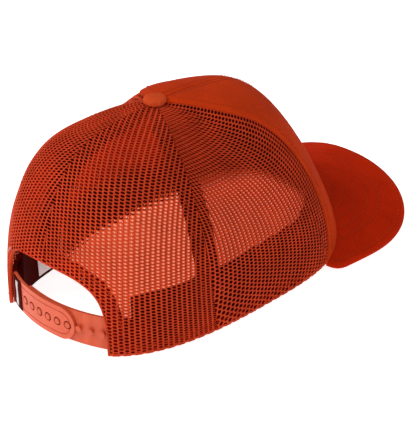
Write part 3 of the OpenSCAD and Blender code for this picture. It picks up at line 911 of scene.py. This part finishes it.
# ---- Sweatband, its pad, the welt and the care label ----


def band(angles, heights, cells, depths, edge):
    """A layer between two angles and two heights over the rim."""

    def place(u, v):
        a = angles[0] + (angles[1] - angles[0]) * u
        return a, t_at(a, heights[0] + (heights[1] - heights[0]) * v)

    return crown_slab(place, cells, depths, edge)


def leaning(part, held=0.0):
    """The sweatband leans into the cap on the wearer's left of the rear opening. Angles are
    positive on that side. What lies less than held mm inside the rim stays there."""
    p = part[0].copy()
    x, y = p[:, 0], RIM_Y - p[:, 1]
    a = np.degrees(np.arctan2(x, y))
    low = np.clip(1 - p[:, 2] / LEAN_TOP_Z, 0, 1) ** 0.5
    free = np.clip((rim_r(a) - np.hypot(x, y) - held) / 3.5, 0, 1) if held else 1
    p[:, 0] = x - LEAN * low * free * hill(a, *LEAN_A)
    return (p,) + tuple(part[1:])


BAND_IN_D = SWEATBAND_D - SWEATBAND_T
WELT_D, PAD_D, CLEARANCE = -3.5, -4.55, 0.35
CARE_D, CARE_T = BAND_IN_D - CLEARANCE, 0.4

sweat = band((-156, 150), (1.2, SWEATBAND_H), (160, 16), (SWEATBAND_D, BAND_IN_D), 1.4)
new_piece("sweatband_cloth", leaning(sweat), "cap", BAND_DARK_AND_SHADED, ["sweatband"])
welt = band((-142, 142), (0.75, 5), (140, 6), (WELT_D, SWEATBAND_D + CLEARANCE), 1.2)
new_piece("rim_welt_cloth", leaning(welt, held=3.7), "cap", LINING_DARK_AND_SHADED, ["rim_welt"])
pad = band((-48, 48), (6, SWEATBAND_H - 3), (48, 12), (PAD_D, SWEATBAND_D + CLEARANCE), 3.0)
pad_piece = new_piece("sweatband_pad_foam", pad, "cap", FOAM, ["sweatband_pad"])
care = band((-142.5, -129), (4, 31), (12, 16), (CARE_D, CARE_D - CARE_T), 0.3)
new_piece("care_label_satin", leaning(care), "cap", CARE, ["care_label"])

# ---- Bill ----

BILL_MID_Y = CORNER_Y - BILL_WIDEST
BILL_LEN = BILL_MID_Y - RIM_FRONT_Y + BILL_REACH
BILL_BACK_SHARE = (1 - (BILL_CORNER / BILL_HALF_W) ** BILL_POW) ** (1 / BILL_POW)
BILL_BACK_LEN = BILL_WIDEST / BILL_BACK_SHARE
BILL_END_A = 180 - math.degrees(math.acos(BILL_BACK_SHARE ** (BILL_POW / 2)))
STITCH_ROWS = [14 + 6.2 * k for k in range(5)]
EDGE_ROW = 3.2
ROW_SINK, EDGE_SINK = (0.22, 0.75), (0.16, 0.7)  # how deep stitching sinks in, and how wide
EDGE_ROUND = 2.4


def bill_edge(s, w):
    """The outline w inside the bill's outer edge, for s from -1 to 1."""
    turn_a = s * BILL_END_A
    ahead = np.where(cosd(turn_a) > 0, BILL_LEN - w, BILL_BACK_LEN)
    side = np.where(sind(turn_a) < 0, 1, -1)
    x = side * (BILL_HALF_W - w) * np.abs(sind(turn_a)) ** (2 / BILL_POW)
    along = np.sign(cosd(turn_a)) * np.abs(cosd(turn_a)) ** (2 / BILL_POW)
    return x, BILL_MID_Y - along * ahead


def bill_root(s):
    """Where the bill meets the crown."""
    a = s * (CORNER_A - 1)
    p = crown(a, 0) - 0.6 * outward(a, 0)
    return p[..., 0], p[..., 1]


def in_from_edge(x, y):
    """How far the bill's outer edge is from here, by halving on its family of inner outlines."""
    low, high = np.zeros_like(x), np.full_like(x, 60.0)
    ahead = np.maximum(BILL_MID_Y - y, 0)
    for _ in range(18):
        w = (low + high) / 2
        size = (np.abs(x) / (BILL_HALF_W - w)) ** BILL_POW + (ahead / (BILL_LEN - w)) ** BILL_POW
        low, high = np.where(size < 1, w, low), np.where(size < 1, high, w)
    return (low + high) / 2


def bill_face(s, r, side):
    """The bill's cover, above (side 1) or below (-1). Its outer edge is rounded, and it sinks in
    a little along its stitching."""
    x0, y0 = bill_root(s)
    x1, y1 = bill_edge(s, 0.0)
    x, y = x0 + (x1 - x0) * r, y0 + (y1 - y0) * r
    to_edge = np.hypot(x1 - x, y1 - y)
    k = np.clip(to_edge / EDGE_ROUND, 0, 1)
    round_off = np.sqrt(np.clip(1 - (1 - k) ** 2, 0, 1))
    w = in_from_edge(x, y)
    sunk = EDGE_SINK[0] * hill(to_edge, EDGE_ROW, EDGE_SINK[1])
    sunk = sunk + sum(ROW_SINK[0] * hill(w, row, ROW_SINK[1]) for row in STITCH_ROWS)
    puff = 0.10 * np.sin(x * 0.21 + 1.3) * np.sin(y * 0.17)
    puff = puff + 0.06 * np.sin(x * 0.6) * np.sin(y * 0.5 + 2)
    half = BILL_T / 2 * (0.05 + 0.95 * round_off) + (puff - sunk) * round_off
    return np.stack([x, y, bill_z(x, y) - BILL_T / 2 + side * half], -1)


inner_r, outer_r = np.linspace(0, 0.9, 110), 0.9 + 0.1 * sind(np.linspace(0, 90, 18)[1:])
s_grid, r_grid = np.meshgrid(np.linspace(1, -1, 221), np.concatenate([inner_r, outer_r]))
verts, faces, _ = slab(bill_face(s_grid, r_grid, 1), bill_face(s_grid, r_grid, -1))
new_piece("bill_covers", (verts, faces, verts[:, :2]), "cap", BILL,
          ["visor_top_cover", "visor_bottom_cover", "visor_edge_seam", "visor_board"])


def bill_row(w, sink, stitch, least_gap=None):
    """A row of stitches w inside the bill's edge. It ends this far from the crown, or runs on
    to the bill's corners."""
    x, y = bill_edge(np.linspace(-0.97, 0.97, 700), w)
    if least_gap is not None:
        a = np.degrees(np.arctan2(np.abs(x), RIM_Y - y))
        clear = np.hypot(x, RIM_Y - y) - rim_r(a) > least_gap
        x, y = x[clear], y[clear]
    upright = np.tile([0, 0, 1.0], (len(x), 1))
    return stitches(np.stack([x, y, bill_z(x, y) - sink], 1), upright, *stitch)


rows = [bill_row(w, 0.16, BILL_STITCH, least_gap=1.6) for w in STITCH_ROWS]
rows.append(bill_row(EDGE_ROW, 0.12, BILL_EDGE_STITCH))
new_piece("bill_stitching", join_parts(rows), "cap", THREAD, ["visor_stitching"])

# ---- Stitching on the crown ----

FLAT_D, RIM_ROW_H, ARCH_ROW_IN = 0.1, 5.2, 7.2


def seam_rows(line, offsets, low_t, high_t, d):
    """Rows of stitches beside a seam, each this far from it."""
    ts = np.linspace(low_t, high_t, 500)
    angles = [line(ts) + wide(line(ts), ts, off) for off in offsets]
    return [stitches(layer(a, ts, d), outward(a, ts), *SEAM_STITCH) for a in angles]


def side_rows():
    rim_path = layer(rim_a, t_at(rim_a, RIM_ROW_H), FLAT_D)
    return (seam_rows(front_seam, (-4.2,), 0.05, 0.93, 1.3)
            + seam_rows(rear_seam, (-5.0, 5.0), 0.09, 0.9, 0.06)
            + [stitches(rim_path, outward(rim_a, 0.02), *EDGE_STITCH)])


def arch_row():
    """The row round the rear opening, where it is clear of the rim."""
    side, up = arch_lean(np.linspace(0, 1, ARCH_STEPS))
    a = arch_a + wide(arch_a, arch_edge_t, side * ARCH_ROW_IN)
    h = arch_h + up * ARCH_ROW_IN
    a, t = a[h > 2], t_at(a, h)[h > 2]
    return stitches(layer(a, t, FLAT_D), outward(a, t), *EDGE_STITCH)


def arch_tack(h):
    """One thread of the tack at the opening's upper corner, on the wearer's left."""
    half = ARCH_STEPS // 2 + 1
    a = -np.interp(h, arch_h[:half], arch_a[:half]) + np.linspace(2.8, 0.3, 30)
    t = t_at(a, h)
    return stitches(layer(a, t, 0.4), outward(a, t), *TACK_STITCH)


tacks = join_parts([arch_tack(37.6 + 1.6 * k) for k in range(4)])
new_piece("arch_tacks", tacks, "cap", PALE_THREAD)
crown_rows = seam_rows(straight(0), (-3.6, 3.6), 0.03, 0.93, 1.42)
crown_rows += side_rows() + [mirrored(row) for row in side_rows()]
crown_rows += seam_rows(straight(180), (-5.0, 5.0), 0.46, 0.9, 0.06) + [arch_row()]
new_piece("crown_stitching", join_parts(crown_rows), "cap", THREAD)

# ---- Button ----

BUTTON_R, BUTTON_H, BUTTON_TUCK = 6.9, 4.3, 2.6
GATHERS, GATHER = 14, 0.16


def button():
    """A cloth-covered dome. The cloth is gathered under it in small folds."""
    sides, levels = 72, 16
    k = np.linspace(0, 1, levels)
    r = BUTTON_R * np.sin(np.minimum(k * 1.35, 1) * math.pi / 2) ** 0.9
    tucked = BUTTON_R - BUTTON_TUCK * (np.maximum(k - 0.78, 0) / 0.22) ** 1.6
    r = np.where(k > 0.78, tucked, r)
    z = np.where(k > 0.86, -0.5 * (k - 0.86) / 0.14, BUTTON_H * (1 - (k / 0.86) ** 2.6))
    turn_a = np.arange(sides) * 360 / sides
    folds = GATHER * sind(turn_a * GATHERS) * np.clip((k[:, None] - 0.45) / 0.4, 0, 1)
    rr = r[:, None] + folds
    rr[0] = 0.01
    x, y = rr * cosd(turn_a), APEX_Y + rr * sind(turn_a)
    verts = np.stack([x, y, APEX_Z + 0.2 + z[:, None] + 0 * rr], -1).reshape(-1, 3)
    return verts, ring_faces(levels, sides), verts[:, :2]


new_piece("button_cloth", button(), "cap", BUTTON, ["button_cap"])

# ---- Straps: the moulded pieces are the CAD's own, and the posts get domed heads ----

STRAP_SAG = RIM_REAR - rim_rear_depth(ARCH_W / 2)
STRAP_R = ((ARCH_W / 2) ** 2 + STRAP_SAG**2) / (2 * STRAP_SAG)
STRAP_CY = RIM_Y + RIM_REAR - STRAP_R
HOLE_R = STRAP_R - STRAP_INSET
POST_R = HOLE_R - STRAP_T - STRAP_GAP
# A post's head, as its radius and its height over the post strap's outer face.
HEAD = [(1.65, 1.66), (1.95, 1.7), (2.05, 1.85), (2.0, 2.02), (1.75, 2.17), (1.05, 2.27),
        (0.01, 2.3)]

for name, material in (
    ("hole_strap", PLASTIC),
    ("post_strap", PLASTIC),
    # The sewn ends get the darker copy of the plastic, which is painted shade.
    ("hole_strap_anchor", SHADED_SEWN_END),
    ("post_strap_anchor", SHADED_SEWN_END),
    ("button_rivet", RIVET),
):
    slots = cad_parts[name].data.materials
    slots.clear()
    slots.append(material)


def strap_point(a, r, z):
    """A point on the straps' arc: its angle and radius there, and its height."""
    return np.stack([r * sind(a), STRAP_CY + r * cosd(a), z + 0 * a], -1)


def post_head(a):
    sides = 28
    turn_a = np.arange(sides) * 360 / sides
    along = np.array([float(cosd(a)), -float(sind(a)), 0.0])
    circle = cosd(turn_a)[:, None] * along + sind(turn_a)[:, None] * np.array([0, 0, 1.0])
    middle_z = STRAP_Z + STRAP_H / 2
    verts = np.concatenate([strap_point(np.array(a), POST_R + h, middle_z) + r * circle
                            for r, h in HEAD])
    faces = [face[::-1] for face in ring_faces(len(HEAD), sides)]
    return verts, faces, verts[:, :2]


heads = join_parts([post_head(HOLE_FIRST_A - i * STRAP_PITCH) for i in range(POSTS)])
new_piece("post_heads", heads, "post_strap", PLASTIC)

# ---- Loop label: a ribbon folded over the strap, with a plain stripe ----

LABEL_FROM_EDGE, LABEL_W, LABEL_MARGIN = 1.5, 11.0, 0.6
STRIPE_HALF_A, STRIPE_MARGIN = 0.9, 2.5


def ribbon(low_a, high_a, margin, r_out, thick, cols):
    """A ribbon over the strap between two angles, this far inside the strap's long edges."""
    u, v = np.meshgrid(spaced(cols), spaced(40))
    a = high_a + (low_a - high_a) * u
    z = STRAP_Z + margin + (STRAP_H - 2 * margin) * v
    from_sides, from_ends = np.minimum(u, 1 - u) * 14, np.minimum(v, 1 - v) * 12
    keep = np.minimum(np.clip(from_sides, 0, 1), np.clip(from_ends, 0, 1)) ** 0.5
    wave = 0.12 * np.sin(v * 9 + u * 3)
    outer = strap_point(a, r_out - thick * (1 - keep) * 0.6 + wave, z)
    return slab(outer, strap_point(a, r_out - thick + 0 * a, z))


root_a = math.asin((ARCH_W / 2 - 3.5) / HOLE_R)
label_high = math.degrees(root_a - LABEL_FROM_EDGE / HOLE_R)
label_low = math.degrees(root_a - (LABEL_FROM_EDGE + LABEL_W) / HOLE_R)
label = ribbon(label_low, label_high, LABEL_MARGIN, HOLE_R + 0.85, 0.75, 24)
new_piece("loop_label_ribbon", label, "hole_strap", LABEL, ["loop_label"])
mid = (label_low + label_high) / 2
stripe = ribbon(mid - STRIPE_HALF_A, mid + STRIPE_HALF_A, STRIPE_MARGIN, HOLE_R + 1.05, 0.25, 8)
new_piece("loop_label_stripe", stripe, "hole_strap", STRIPE)

# ---- Camera, light and floor ----

AZ, EL, ROLL = math.radians(227.5), math.radians(28.4), math.radians(-2.1)
DISTANCE, AIM, AIM_RIGHT, AIM_DOWN = 1.596, Vector((0, 0.0121, 0.050)), 0.0095, 0.0159
SENSOR_MM, FOCAL_PX, LONG_SIDE_PX = 36.0, 2649.0, 434.0

back = Vector((math.sin(AZ) * math.cos(EL), -math.cos(AZ) * math.cos(EL), math.sin(EL)))
right = Vector((math.cos(AZ), math.sin(AZ), 0))
up = back.cross(right)
right_rolled = right * math.cos(ROLL) + up * math.sin(ROLL)
up_rolled = up * math.cos(ROLL) - right * math.sin(ROLL)
target = AIM + right_rolled * AIM_RIGHT - up_rolled * AIM_DOWN
camera = bpy.data.objects.new("camera", bpy.data.cameras.new("camera"))
bpy.context.scene.collection.objects.link(camera)
camera.data.sensor_width = SENSOR_MM
camera.data.lens = SENSOR_MM * FOCAL_PX / LONG_SIDE_PX
camera.data.clip_start, camera.data.clip_end = 0.05, 50.0
turned = Matrix((right_rolled, up_rolled, back)).transposed()
camera.matrix_world = Matrix.Translation(target + back * DISTANCE) @ turned.to_4x4()
bpy.context.scene.camera = camera


def area(name, where, size, watts):
    """A round soft light that faces the cap."""
    data = bpy.data.lights.new(name, "AREA")
    data.shape = "DISK"
    data.size, data.energy = size, watts
    lamp = bpy.data.objects.new(name, data)
    bpy.context.scene.collection.objects.link(lamp)
    lamp.location = where
    lamp.rotation_mode = "QUATERNION"
    lamp.rotation_quaternion = (Vector(where) - Vector((0, 0, 0.05))).to_track_quat("Z", "Y")


area("key", (0.7, 1.5, 1.7), 1.2, 36)
area("fill", (-1.8, 0.6, 1.2), 1.6, 8)
area("front", (0.2, -1.6, 1.5), 1.4, 6)

world = bpy.data.worlds.new("studio")
world.use_nodes = True
world.node_tree.nodes["Background"].inputs[0].default_value = (1, 1, 1, 1)
world.node_tree.nodes["Background"].inputs[1].default_value = 0.38
bpy.context.scene.world = world

floor_mesh = bpy.data.meshes.new("floor")
floor_mesh.from_pydata([(-8, -8, 0), (8, -8, 0), (8, 8, 0), (-8, 8, 0)], [], [(0, 1, 2, 3)])
floor = bpy.data.objects.new("floor", floor_mesh)
bpy.context.scene.collection.objects.link(floor)
floor.location = (0, 0, -0.0004)
pale, tree, shader = start("floor_pale")
spots = ramp(tree, noise(tree, 3.0, 3.0), (0.2, (0.62, 0.62, 0.62)), (0.8, (0.66, 0.66, 0.66)))
finish(tree, shader, spots, Roughness=0.9, Emission_Color=(1, 1, 1, 1), Emission_Strength=0.9)
floor.data.materials.append(pale)

scene = bpy.context.scene
scene.view_settings.view_transform = "Standard"
scene.view_settings.look = "None"
